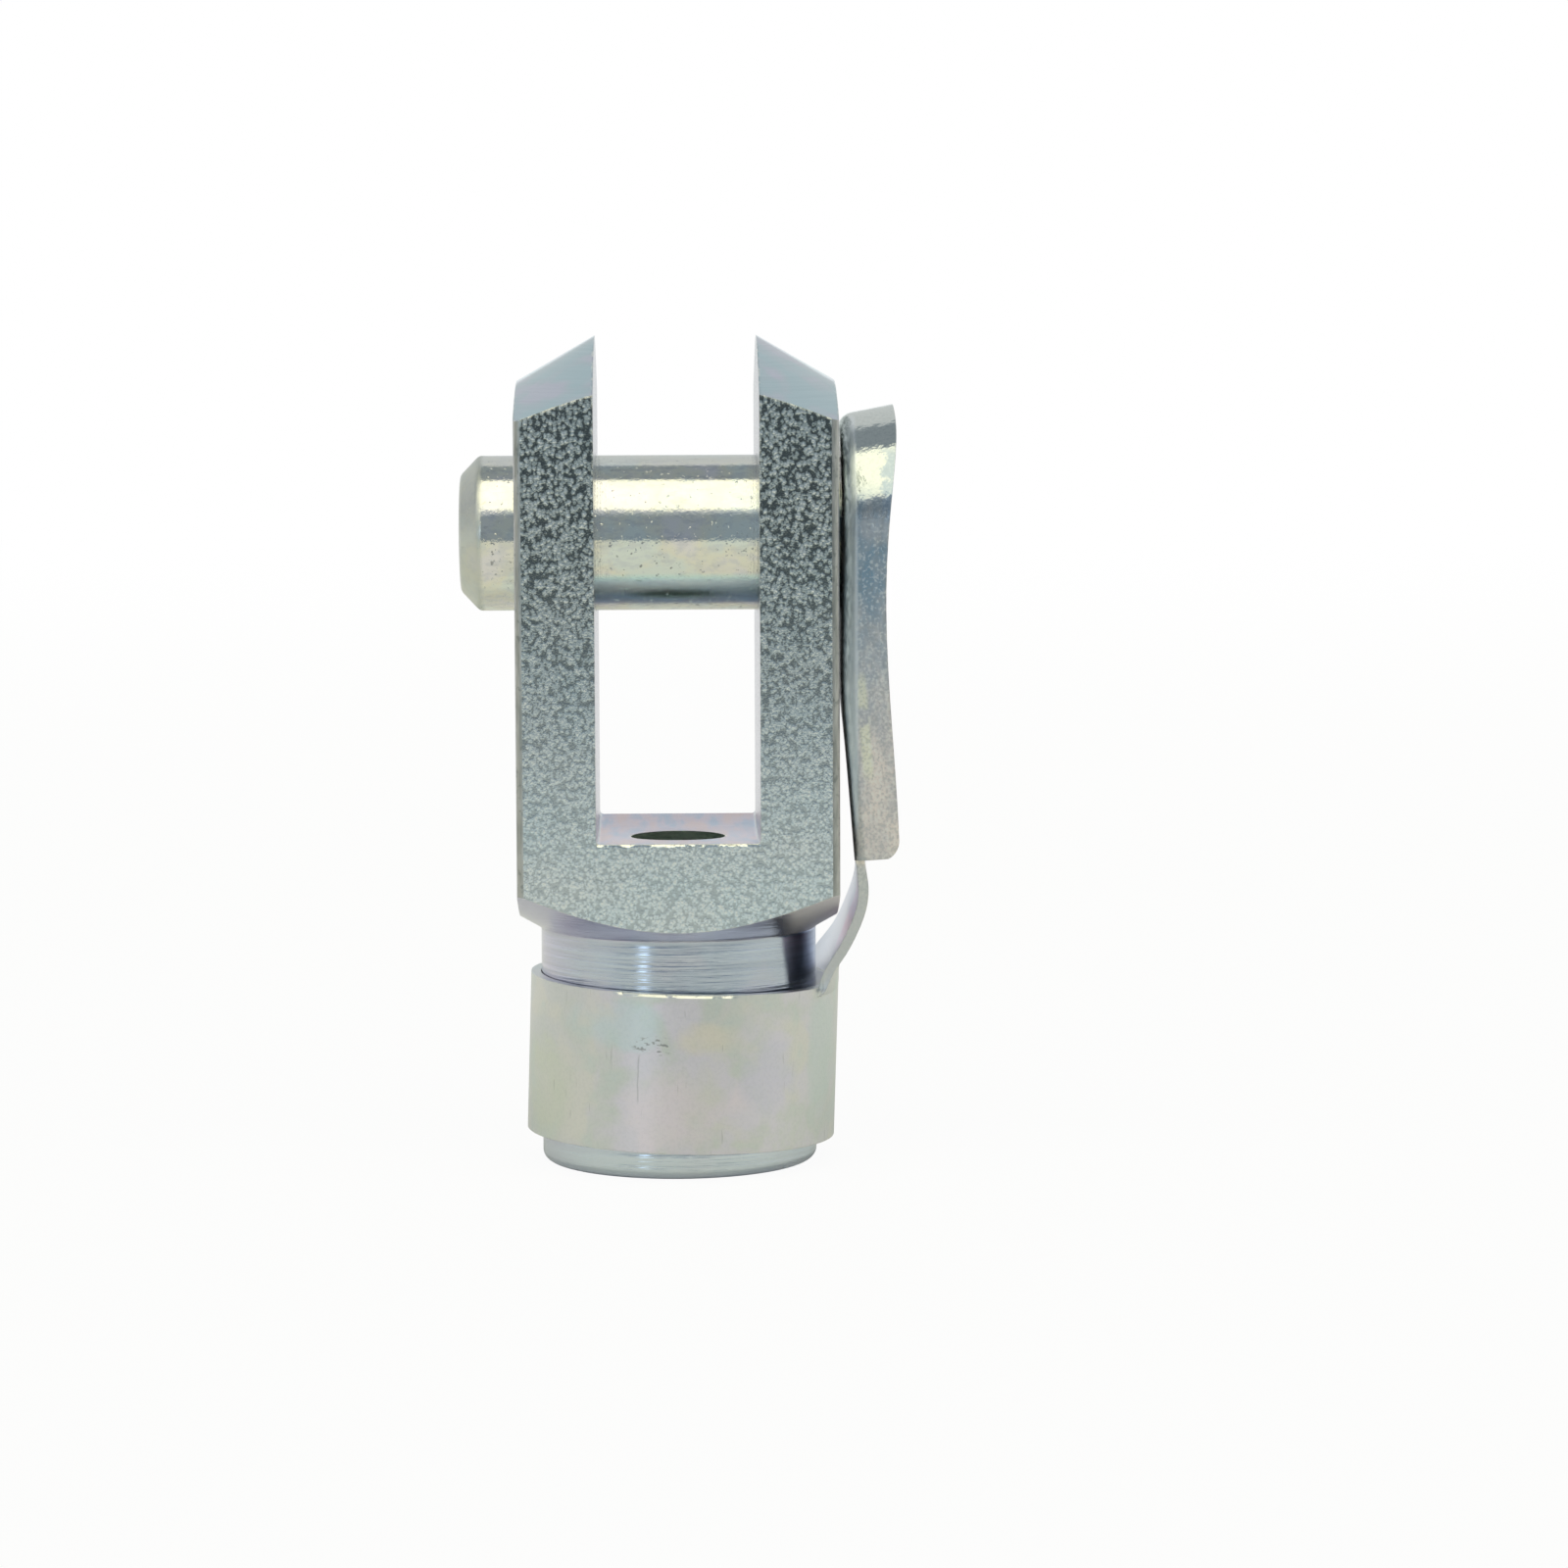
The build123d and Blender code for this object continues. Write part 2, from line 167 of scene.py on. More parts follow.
class Tree:
    """Short calls that add shader nodes to one node tree."""

    def __init__(self, tree):
        self.tree = tree

    def add(self, kind, settings=None, inputs=None):
        """New node with its settings set and its inputs linked or filled."""
        made = self.tree.nodes.new(kind)
        for key, value in (settings or {}).items():
            setattr(made, key, value)
        for key, value in (inputs or {}).items():
            self.put(made.inputs[key], value)
        return made

    def put(self, socket, value):
        """Link a socket's value, or set a constant."""
        if isinstance(value, bpy.types.NodeSocket):
            self.tree.links.new(value, socket)
        else:
            socket.default_value = value

    def math(self, operation, a, b=0.0):
        made = self.add("ShaderNodeMath", {"operation": operation})
        for socket, value in zip(made.inputs, (a, b)):
            self.put(socket, value)
        return made.outputs[0]

    def total(self, *terms):
        out = terms[0]
        for term in terms[1:]:
            out = self.math("ADD", out, term)
        return out

    def times(self, *terms):
        out = terms[0]
        for term in terms[1:]:
            out = self.math("MULTIPLY", out, term)
        return out

    def linear(self, value, low, high, start=0.0, end=1.0, step="LINEAR"):
        """Even slope of value from start at low to end at high, held beyond them."""
        made = self.add("ShaderNodeMapRange", {"interpolation_type": step}, {
            "Value": value, "From Min": low, "From Max": high, "To Min": start, "To Max": end})
        return made.outputs["Result"]

    def span(self, value, low, high, start=0.0, end=1.0):
        """Smooth step of value from start at low to end at high."""
        return self.linear(value, low, high, start, end, "SMOOTHSTEP")

    def between(self, share, a, b):
        """Number a where share is 0 and b where it is 1."""
        return self.linear(share, 0.0, 1.0, a, b)

    def opposite(self, share):
        """1 where share is 0 and 0 where it is 1."""
        return self.math("SUBTRACT", 1.0, share)

    def band(self, value, low, high, soft):
        """1 between low and high, fading to 0 over soft outside them."""
        return self.times(self.span(value, low - soft, low), self.span(value, high + soft, high))

    def mix(self, share, a, b):
        """Colour a where share is 0 and b where it is 1."""
        made = self.add("ShaderNodeMix", {"data_type": "RGBA"}, {"Factor": share})
        sockets = [socket for socket in made.inputs if socket.type == "RGBA"]
        for socket, value in zip(sockets, (a, b)):
            self.put(socket, colour(value) if isinstance(value, tuple) else value)
        return [socket for socket in made.outputs if socket.type == "RGBA"][0]

    def ramp(self, value, stops):
        """Colour that runs through the stops, each a place and a tint."""
        made = self.add("ShaderNodeValToRGB", inputs={"Fac": value})
        elements = made.color_ramp.elements
        while len(elements) < len(stops):
            elements.new(0.5)
        for element, (place, tint) in zip(elements, stops):
            element.position = place
            element.color = colour(tint)
        return made.outputs["Color"]

    def noise(self, vector, scale, detail=2.0, roughness=0.5, distortion=0.0):
        return self.add("ShaderNodeTexNoise", inputs={
            "Vector": vector, "Scale": scale, "Detail": detail,
            "Roughness": roughness, "Distortion": distortion}).outputs[0]

    def cells(self, vector, scale):
        """Distance to the middle of the nearest of scattered cells, in cell widths."""
        made = self.add("ShaderNodeTexVoronoi", inputs={"Vector": vector, "Scale": scale})
        return made.outputs["Distance"]

    def stretch(self, vector, scale, turn=(0.0, 0.0, 0.0)):
        """Place turned in radians and scaled along each axis."""
        return self.add("ShaderNodeMapping", inputs={
            "Vector": vector, "Scale": scale, "Rotation": turn}).outputs[0]

    def split(self, vector):
        return self.add("ShaderNodeSeparateXYZ", inputs={"Vector": vector}).outputs

    def join(self, x, y, z):
        return self.add("ShaderNodeCombineXYZ", inputs={"X": x, "Y": y, "Z": z}).outputs[0]

    def bump(self, height, distance, strength=1.0, normal=None):
        inputs = {"Height": height, "Distance": distance, "Strength": strength}
        if normal is not None:
            inputs["Normal"] = normal
        return self.add("ShaderNodeBump", inputs=inputs).outputs[0]

    def normal(self):
        """The face's own normal, split in three."""
        return self.split(self.add("ShaderNodeNewGeometry").outputs["True Normal"])

    def blend(self, share, one, two, out_kind):
        """Mix two shaders, and send them to the material's or world's output."""
        made = self.add("ShaderNodeMixShader", inputs={0: share})
        self.tree.links.new(one.outputs[0], made.inputs[1])
        self.tree.links.new(two.outputs[0], made.inputs[2])
        self.tree.links.new(made.outputs[0], self.add(out_kind).inputs["Surface"])


def colour(value):
    """Tint with full opacity added."""
    return tuple(value) + (1.0,)


def emptied_tree(owner):
    """Tree of a material or world, with its first nodes taken out."""
    owner.use_nodes = True
    owner.node_tree.nodes.clear()
    return Tree(owner.node_tree)


def new_material(name):
    """Material with its tree, place in millimetres, and a shader to fill."""
    material = bpy.data.materials.new(name)
    tree = emptied_tree(material)
    coordinate = tree.add("ShaderNodeTexCoord")
    place = tree.add("ShaderNodeVectorMath", {"operation": "SCALE"},
                     {0: coordinate.outputs["Object"], "Scale": 1 / MM}).outputs[0]
    shader = tree.add("ShaderNodeBsdfPrincipled", inputs={"Metallic": 1.0})
    out = tree.add("ShaderNodeOutputMaterial")
    tree.tree.links.new(shader.outputs[0], out.inputs["Surface"])
    return material, tree, place, shader


def edge_mask(tree, radius, low, high):
    """1 on edges, where edge tints and painted glints go: where a rounded normal turns away from the
    true one.
    """
    rounded = tree.add("ShaderNodeBevel", {"samples": 3}, {"Radius": tree.times(radius, MM)}).outputs[0]
    true = tree.add("ShaderNodeNewGeometry").outputs["Normal"]
    dot = tree.add("ShaderNodeVectorMath", {"operation": "DOT_PRODUCT"}, {0: rounded, 1: true})
    return tree.span(dot.outputs["Value"], high, low), rounded


def set_surface(tree, shader, base, roughness, normal):
    """Set the shader's base colour, roughness and normal."""
    tree.put(shader.inputs["Base Color"], base)
    tree.put(shader.inputs["Roughness"], roughness)
    tree.put(shader.inputs["Normal"], normal)


def stain(tree, x, z, middle, reach, ragged):
    """Soft round patch at a place on the front, with a ragged outline."""
    across = tree.times(tree.total(x, -middle[0]), 1 / reach[0])
    along = tree.times(tree.total(z, -middle[1]), 1 / reach[1])
    distance = tree.total(
        tree.times(across, across), tree.times(along, along), tree.times(ragged, 3.0), -1.5)
    return tree.span(distance, 1.0, 0.1)


def turned_lines(tree, x, y, z):
    """Fine turning lines: rings round Z on faces turned to any slope."""
    radius = tree.math("SQRT", tree.total(tree.times(x, x), tree.times(y, y)))
    height = tree.total(tree.times(z, 5.0), tree.times(y, 0.12))
    rings = tree.join(tree.times(radius, 5.5), tree.times(x, 0.12), height)
    return tree.noise(rings, 1.0, 3.0, 0.65)


def flat_material():
    """Drawn flats: grain with painted shade in pits, painted highlights on crests, coarser and darker
    up to the open end.
    """
    material, tree, place, shader = new_material("zinc_on_drawn_flats")
    x, _, z = tree.split(place)
    # Towards the open end the grain grows coarser and the painted shade darker
    high = tree.span(z, *COARSE_GRAIN_AND_SHADE)
    coarse = tree.cells(tree.stretch(place, (1.0, 1.0, 0.8), (0.0, 0.35, 0.0)), GRAIN_SCALE)
    small = tree.cells(tree.stretch(place, (1.0, 1.0, 0.75)), GRAIN_SCALE * 1.2)
    dot = tree.opposite(tree.between(high, small, coarse))
    cloud = tree.total(tree.noise(place, 2.6, 2.0, 0.6), -0.5)
    fine = tree.total(tree.noise(place, 11.0, 1.0, 0.5), -0.5)
    level = tree.total(dot, cloud, tree.times(fine, 0.8))
    patch = tree.noise(place, 0.25, 3.0, 0.55)
    # Painted shade: the tint is darker towards the open end, and paler and bluer low down
    low_lit_tint = tree.ramp(patch, [(0.36, (0.80, 0.91, 1.0)), (0.64, (0.86, 0.93, 1.0))])
    high_shaded_tint = tree.ramp(patch, [(0.36, (0.60, 0.66, 0.65)), (0.64, (0.65, 0.69, 0.67))])
    # Painted shade in the pits and painted highlights on the crests
    shaded_pit = tree.times(tree.span(level, 0.52, 0.32), tree.between(high, 0.30, 0.86))
    crest_highlight = tree.times(tree.span(level, 0.60, 0.86), tree.between(high, 0.70, 1.0))
    base = tree.mix(high, low_lit_tint, high_shaded_tint)
    base = tree.mix(shaded_pit, base, (0.07, 0.09, 0.10))
    base = tree.mix(crest_highlight, base, (0.98, 1.0, 1.0))
    edge, rounded = edge_mask(tree, tree.span(z, *WIDER_EDGES, 0.06, 0.18), 0.90, 0.99)
    # Edges turn darker grey, with painted glints on them in spots
    sparkle = tree.span(tree.noise(place, 2.4, 2.0, 0.6), 0.50, 0.56)
    base = tree.mix(tree.times(edge, 0.5), base, (0.30, 0.32, 0.33))
    base = tree.mix(tree.times(edge, sparkle), base, BURNISHED_GLINT)
    # Painted glint in ragged spots along the edge at the slot's mouth, where the edge is also bumped
    # down as a burr
    ragged = tree.total(z, tree.times(tree.noise(place, 1.6, 3.0, 0.6), 0.30))
    lip = tree.times(
        tree.linear(ragged, SLOT_MOUTH + 0.02, SLOT_MOUTH + 0.20),
        tree.span(z, SLOT_MOUTH + 0.3, SLOT_MOUTH + 0.1),
        tree.span(tree.math("ABSOLUTE", x), SLOT_HALF, SLOT_HALF - 0.1),
        tree.span(tree.noise(place, 0.9, 3.0, 0.65), 0.42, 0.54, 0.25, 1.0))
    base = tree.mix(tree.span(lip, 0.02, 0.20), base, (1.0, 0.99, 0.90))
    burr = tree.bump(lip, -BURR_DEPTH * MM, 1.0, rounded)
    grain = tree.bump(level, GRAIN_DEPTH * MM, tree.between(high, 0.3, 0.9), burr)
    set_surface(tree, shader, base, 0.22, grain)
    return material


def edge_material():
    """Rounded long edges of the bar: smooth and grey, drawn lengthwise, with darker worn spots."""
    material, tree, place, shader = new_material("zinc_on_bar_edges")
    drag = tree.noise(tree.stretch(place, (3.0, 3.0, 0.4)), 1.6, 3.0, 0.6)
    base = tree.ramp(drag, [(0.36, (0.38, 0.39, 0.38)), (0.62, (0.56, 0.56, 0.55))])
    wear = tree.span(tree.noise(place, 2.4, 3.0, 0.6), 0.56, 0.68)
    base = tree.mix(tree.times(wear, 0.6), base, (0.22, 0.24, 0.24))
    set_surface(tree, shader, base, 0.34, tree.bump(drag, DRAWN_DEPTH * MM))
    return material


def turned_material():
    """Turned faces: blue-grey with fine rings, lilac in places, smoother on the bevels."""
    material, tree, place, shader = new_material("zinc_on_turned_faces")
    x, y, z = tree.split(place)
    nz = tree.normal()[2]
    turning = turned_lines(tree, x, y, z)
    bevel = tree.span(nz, 0.5, 0.8)
    upright = tree.opposite(bevel)
    base = tree.ramp(turning, [
        (0.36, (0.55, 0.61, 0.73)), (0.5, (0.61, 0.67, 0.80)), (0.64, (0.67, 0.74, 0.87))])
    smooth = tree.ramp(tree.noise(place, 0.45, 2.0, 0.5), [
        (0.40, (0.53, 0.68, 0.72)), (0.52, (0.58, 0.67, 0.72)), (0.62, (0.66, 0.66, 0.76))])
    base = tree.mix(tree.times(bevel, 0.75), base, smooth)
    lilac = tree.span(tree.noise(place, 0.30, 2.0, 0.5), 0.46, 0.62)
    base = tree.mix(tree.times(lilac, upright, 0.40), base, (0.68, 0.65, 0.76))
    far_left = tree.span(tree.total(x, tree.times(turning, 2.0)), -3.2, -5.2)
    base = tree.mix(tree.times(far_left, upright, 0.45), base, (0.70, 0.63, 0.78))
    under = tree.span(nz, -0.3, -0.7)
    base = tree.mix(tree.times(under, 0.6), base, (0.74, 0.70, 0.88))
    # Painted reflection: paler pinkish grey on the right of the underside, where the clip is mirrored;
    # rougher there too
    lit_shoulder = tree.times(under, tree.span(x, 4.4, 6.0))
    base = tree.mix(tree.times(lit_shoulder, 0.8), base, (0.90, 0.85, 0.86))
    foot = tree.span(z, *NECK_FOOT)
    base = tree.mix(tree.times(foot, 0.6), base, (0.78, 0.86, 0.94))
    reach = tree.times(tree.between(bevel, 0.08, 0.18), tree.span(z, *CONE_TIP))
    edge, rounded = edge_mask(tree, reach, 0.88, 0.99)
    glint = tree.span(tree.noise(place, 2.4, 2.0, 0.6), 0.50, 0.56)
    base = tree.mix(tree.times(edge, 0.25), base, (0.34, 0.37, 0.39))
    base = tree.mix(tree.times(edge, glint), base, (1.0, 0.99, 0.93))
    rings = tree.bump(turning, RINGS_DEPTH * MM, tree.between(bevel, 1.0, 0.4), rounded)
    set_surface(tree, shader, base, tree.between(lit_shoulder, 0.15, 0.42), rings)
    return material


def bore_material():
    """Drilled and tapped hole: dull, greenish, with little light reaching it."""
    material, tree, place, shader = new_material("zinc_in_rod_hole")
    cloud = tree.noise(place, 1.2, 3.0, 0.6)
    base = tree.ramp(cloud, [(0.38, (0.62, 0.72, 0.64)), (0.62, (0.86, 0.92, 0.84))])
    tree.put(shader.inputs["Metallic"], 0.2)
    set_surface(tree, shader, base, 0.50, tree.bump(cloud, DRILLED_DEPTH * MM))
    return material


def slot_material():
    """Milled slot: slanted lines on its sides, pink and lilac patches on its floor."""
    material, tree, place, shader = new_material("zinc_in_slot")
    nz = tree.normal()[2]
    slanted = tree.stretch(place, (0.15, 0.35, 6.0), (math.radians(18), 0.0, 0.0))
    milling = tree.noise(slanted, 1.3, 3.0, 0.65)
    side_colour = tree.ramp(milling, [(0.35, (0.52, 0.53, 0.58)), (0.65, (0.68, 0.69, 0.73))])
    patch = tree.noise(tree.stretch(place, (1.0, 0.18, 1.0)), 0.9, 3.0, 0.6)
    floor_colour = tree.ramp(
        patch, [(0.36, (0.44, 0.51, 0.68)), (0.5, (0.62, 0.54, 0.66)), (0.64, (0.70, 0.54, 0.58))])
    base = tree.mix(tree.math("GREATER_THAN", nz, 0.8), side_colour, floor_colour)
    edge, rounded = edge_mask(tree, 0.14, 0.86, 0.98)
    glint = tree.span(tree.noise(place, 2.4, 2.0, 0.6), 0.42, 0.56)
    base = tree.mix(tree.times(edge, tree.between(glint, 0.3, 0.95)), base, (1.0, 0.98, 0.86))
    set_surface(tree, shader, base, 0.26, tree.bump(milling, MILLED_DEPTH * MM, 1.0, rounded))
    return material


def pin_material():
    """Pin: bright and smooth, cream and blue in clouds, with specks, and duller on its ends; painted
    shade on top, painted reflection below.
    """
    material, tree, place, shader = new_material("zinc_on_pin")
    x, y, z = tree.split(place)
    along = tree.join(tree.times(x, 5.0), tree.times(y, 0.1), tree.times(z, 0.1))
    lines = tree.noise(along, 1.5, 3.0, 0.65)
    patch = tree.noise(place, 0.40, 3.0, 0.55)
    base = tree.ramp(patch, [
        (0.36, (0.86, 0.91, 0.88)), (0.5, (0.93, 0.90, 0.79)), (0.66, (0.92, 0.88, 0.90))])
    spread = tree.span(tree.noise(place, 0.5, 2.0, 0.5), 0.46, 0.56)
    low_side = tree.span(z, PIN_HEIGHT + 0.2, PIN_HEIGHT - 0.4, 0.25, 1.0)
    # Pits, sunk in relief and painted dark as shade, more of them on the lower half of the pin
    shaded_pit = tree.times(tree.span(tree.noise(place, 4.2, 1.0, 0.5), 0.66, 0.72), spread, low_side)
    base = tree.mix(tree.times(shaded_pit, 0.65), base, (0.14, 0.14, 0.14))
    cloud = tree.noise(tree.stretch(place, (0.6, 1.0, 1.0)), 2.4, 3.0, 0.65)
    base = tree.mix(tree.times(tree.span(cloud, 0.46, 0.62), 0.32), base, (0.60, 0.62, 0.72))
    # Painted reflection: greenish tint low on the pin outside the slot; rougher there too
    under = tree.times(
        tree.band(z, PIN_HEIGHT - 3.2, PIN_HEIGHT - 2.2, 0.4),
        tree.span(x, -SLOT_HALF - 0.3, -SLOT_HALF))
    base = tree.mix(tree.times(under, 0.8), base, (0.64, 0.94, 0.93))
    # Painted shade: darker grey along the top of the pin
    shaded_crown = tree.span(z, PIN_HEIGHT + 3.3, PIN_HEIGHT + 3.7, 0.0, 0.7)
    base = tree.mix(shaded_crown, base, (0.74, 0.74, 0.72))
    smudge = tree.noise(tree.stretch(place, (0.7, 2.0, 2.0)), 1.2, 4.0, 0.65)
    base = tree.mix(tree.times(tree.span(smudge, 0.52, 0.75), 0.30), base, (0.45, 0.46, 0.46))
    bevel = tree.span(x, *PIN_BEVEL)
    head = tree.span(x, *RIVET_HEAD)
    base = tree.mix(tree.times(bevel, 0.7), base, (0.62, 0.63, 0.59))
    low = tree.span(z, PIN_HEIGHT - 3.3, PIN_HEIGHT - 3.7)
    rough = tree.total(
        0.04,
        tree.times(bevel, 0.34),
        tree.times(head, 0.24),
        tree.times(under, 0.14),
        tree.times(patch, 0.05),
        tree.times(low, 0.25))
    speck = tree.span(tree.noise(place, 3.6, 2.0, 0.6), 0.66, 0.74)
    relief = tree.total(tree.times(lines, 0.5), tree.times(shaded_pit, -0.8), tree.times(speck, 1.5))
    detail = tree.bump(relief, PIN_LINES_DEPTH * MM)
    skin = tree.noise(place, 4.5, 3.0, 0.65)
    set_surface(tree, shader, base, rough, tree.bump(skin, PIN_SKIN_DEPTH * MM, 1.0, detail))
    return material


def clasp_colour(tree, x, z, front, wash, film):
    """Clasp: pale grey zinc under lilac, cream and blue films, with the stains on its front."""
    middle = tree.band(x, -2.5, 4.5, 4.0)
    base = tree.ramp(wash, [(0.35, (0.73, 0.76, 0.74)), (0.65, (0.77, 0.78, 0.77))])
    lilac = tree.times(tree.span(film, 0.36, 0.60), tree.between(middle, 0.25, 1.0))
    base = tree.mix(lilac, base, (0.84, 0.80, 0.90))
    base = tree.mix(tree.span(wash, 0.54, 0.70, 0.0, 0.7), base, (0.84, 0.82, 0.78))
    base = tree.mix(tree.times(tree.span(film, 0.46, 0.30), 0.5), base, (0.72, 0.79, 0.80))
    for at, reach, share, tint in STAINS:
        spot = stain(tree, x, z, at, reach, wash)
        base = tree.mix(tree.times(spot, front, share), base, tint)
    return base


def leaf_colour(tree, place, x, z):
    """Leaf: painted darker blue-grey at the rivet, warm and pale at its foot, with a cream streak and a
    patch of painted shade.
    """
    blot = tree.noise(tree.stretch(place, (1.0, 1.0, 0.6)), 0.7, 3.0, 0.6)
    # Painted shade: the tint is darker blue-grey high on the leaf, and paler and warm low down
    top = tree.ramp(blot, [
        (0.38, (0.27, 0.38, 0.48)), (0.5, (0.37, 0.44, 0.51)), (0.62, (0.51, 0.52, 0.54))])
    low = tree.ramp(blot, [
        (0.38, (0.67, 0.62, 0.62)), (0.5, (0.78, 0.70, 0.67)), (0.62, (0.88, 0.77, 0.71))])
    base = tree.mix(tree.span(z, 31.0, 20.0), top, low)
    lean = tree.total(x, tree.times(tree.total(z, -STREAK_HEIGHT), STREAK_LEAN))
    cream = tree.times(
        tree.band(lean, 8.95, 9.25, 0.2), tree.band(z, 20.6, 24.6, 1.0), tree.span(blot, 0.34, 0.44))
    base = tree.mix(tree.times(cream, 0.8), base, (0.92, 0.88, 0.70))
    base = tree.mix(tree.span(z, 33.0, 35.0), base, (0.76, 0.78, 0.76))
    ragged = tree.total(tree.noise(place, 1.7, 3.0, 0.65), -0.5)
    ragged = tree.total(x, tree.times(ragged, 1.4))
    shade = tree.times(tree.band(z, 33.2, 36.0, 0.6), tree.span(ragged, 10.15, 10.40))
    return tree.mix(tree.times(shade, 0.85), base, (0.42, 0.50, 0.60))


def tongue_colour(tree, base, film, point, normal):
    """Tongue: blue to pink on its inner side, and grey on its cut edge."""
    x, y, z = point
    nx, ny = normal[:2]
    inside = tree.times(tree.span(nx, -0.3, -0.7), tree.band(z, 9.0, 15.0, 1.0), tree.span(x, 6.5, 7.5))
    toward_front = tree.span(tree.total(y, tree.times(film, 2.4)), 0.9, -0.5)
    blush = tree.mix(
        tree.times(toward_front, tree.span(z, 10.2, 12.4)), (0.78, 0.80, 0.88), (0.92, 0.70, 0.86))
    base = tree.mix(tree.times(inside, 0.9), base, blush)
    cut = tree.times(tree.span(ny, -0.8, -0.95), tree.band(z, 9.2, 15.4, 0.3), tree.span(x, 7.0, 7.6))
    return tree.mix(tree.times(cut, 0.8), base, (0.64, 0.66, 0.72))


def scratches(tree, place):
    """A few fine upright scratches."""
    hair = tree.noise(tree.stretch(place, (6.0, 6.0, 0.55), (0.10, 0.22, 0.0)), 1.2, 1.0, 0.5)
    some = tree.noise(place, 0.35, 1.0, 0.5)
    return tree.times(tree.span(hair, 0.70, 0.74), tree.span(some, 0.50, 0.58))


def clasp_marks(tree, place, x, z, front, wash):
    """The group of dents and the score line on the clasp's front."""
    dents = tree.noise(tree.stretch(place, (2.2, 2.2, 5.0), (0.0, 0.7, 0.0)), 1.3, 2.0, 0.5)
    group = stain(tree, x, z, DENTS_MIDDLE, DENTS_REACH, wash)
    dents = tree.times(tree.span(dents, 0.56, 0.62), group, front)
    wander = tree.total(x, SCORE_ACROSS, tree.times(tree.total(wash, -0.5), 1.2))
    line = tree.span(tree.math("ABSOLUTE", wander), 0.06, 0.02)
    score = tree.times(line, tree.band(z, SCORE_LOW, SCORE_HIGH, 0.4), front)
    return tree.total(dents, tree.times(score, 0.4))


def clip_material():
    """Sheet of the clip: satin zinc, cream and lilac on the clasp, grey leaf, shiny rim, and painted
    highlights and glints.
    """
    material, tree, place, shader = new_material("zinc_on_clip")
    x, y, z = tree.split(place)
    normal = tree.normal()
    ny = normal[1]
    wash = tree.noise(place, 0.30, 3.0, 0.5, 0.4)
    film = tree.noise(tree.stretch(place, (1.0, 1.0, 1.0), (0.6, 0.3, 0.0)), 0.42, 3.0, 0.5, 0.3)
    front = tree.times(tree.span(y, 0.0, -2.0), tree.span(ny, 0.1, -0.1))
    clasp = clasp_colour(tree, x, z, front, wash, film)
    base = tree.mix(tree.span(z, *LEAF_START), clasp, leaf_colour(tree, place, x, z))
    base = tongue_colour(tree, base, film, (x, y, z), normal)

    # Fine mottle of the leaf, a painted highlight on the bend beside the fork, scratches, dents and the
    # score line
    mottle = tree.noise(place, 6.2, 1.0, 0.5)
    on_leaf = tree.times(tree.span(z, 12.0, 17.0, 0.15, 1.0), tree.span(z, 34.0, 31.5, 0.3, 1.0))
    dark = tree.times(tree.span(mottle, 0.50, 0.36, 0.0, 0.36), on_leaf)
    bright = tree.times(tree.span(mottle, 0.52, 0.66, 0.0, 0.40), on_leaf)
    base = tree.mix(dark, base, (0.38, 0.40, 0.41))
    base = tree.mix(bright, base, (0.94, 0.92, 0.86))
    # Painted highlight: near white along the bend beside the fork
    bend_highlight = tree.times(tree.span(x, 9.05, 8.85), tree.span(z, 16.5, 18.0), tree.span(ny, -0.1, -0.4))
    base = tree.mix(tree.times(bend_highlight, 0.85), base, (0.92, 0.95, 0.99))
    base = tree.mix(tree.times(scratches(tree, place), 0.25), base, (0.25, 0.25, 0.26))
    marks = clasp_marks(tree, place, x, z, front, wash)
    base = tree.mix(tree.times(marks, 0.7), base, (0.25, 0.25, 0.27))

    # Painted glint along a worn stretch of the clasp's top edge, which is rolled over a little in
    # relief, and painted glints on all edges
    worn_glint = tree.times(tree.band(x, -2.6, 2.2, 0.8), tree.band(z, 8.9, 10.2, 0.2), front)
    worn_glint = tree.times(worn_glint, tree.span(tree.noise(place, 1.4, 2.0, 0.6), 0.36, 0.50, 0.3, 1.0))
    height = tree.total(z, tree.times(x, CLASP_LEAN))
    rolled_glint = tree.times(tree.linear(height, CLASP_TOP - 0.16, CLASP_TOP), worn_glint)
    # Painted glint on the rolled stretch of the top edge
    base = tree.mix(tree.span(rolled_glint, 0.05, 0.3), base, BURNISHED_GLINT)
    edge, rounded = edge_mask(tree, 0.08, 0.88, 0.99)
    glint = tree.span(tree.noise(place, 1.1, 2.0, 0.6), 0.46, 0.58)
    glint = tree.math("MAXIMUM", glint, worn_glint)
    base = tree.mix(tree.times(edge, glint, 0.9), base, (0.99, 0.98, 0.90))

    # The rim and the worn edge shine, and the rim ripples more than the rest
    rim = tree.span(z, *RIM_START)
    shiny = tree.math("MAXIMUM", tree.times(rim, tree.opposite(bend_highlight)), tree.times(worn_glint, edge))
    rough = tree.total(
        tree.span(z, 8.0, 16.0, 0.34, 0.28), tree.times(shiny, -0.22), tree.times(mottle, 0.06))
    streak = tree.noise(tree.stretch(place, (1.6, 1.6, 1.0)), 1.3, 3.0, 0.6)
    relief = tree.total(tree.times(mottle, tree.between(rim, 0.4, 0.08)), tree.times(streak, 0.9))
    strength = tree.times(tree.between(rim, 0.6, 1.3), tree.between(bend_highlight, 1.0, 0.3))
    rounded = tree.bump(rolled_glint, -ROLLED_DEPTH * MM, 1.0, rounded)
    set_surface(tree, shader, base, rough, tree.bump(relief, SHEET_DEPTH * MM, strength, rounded))
    return material


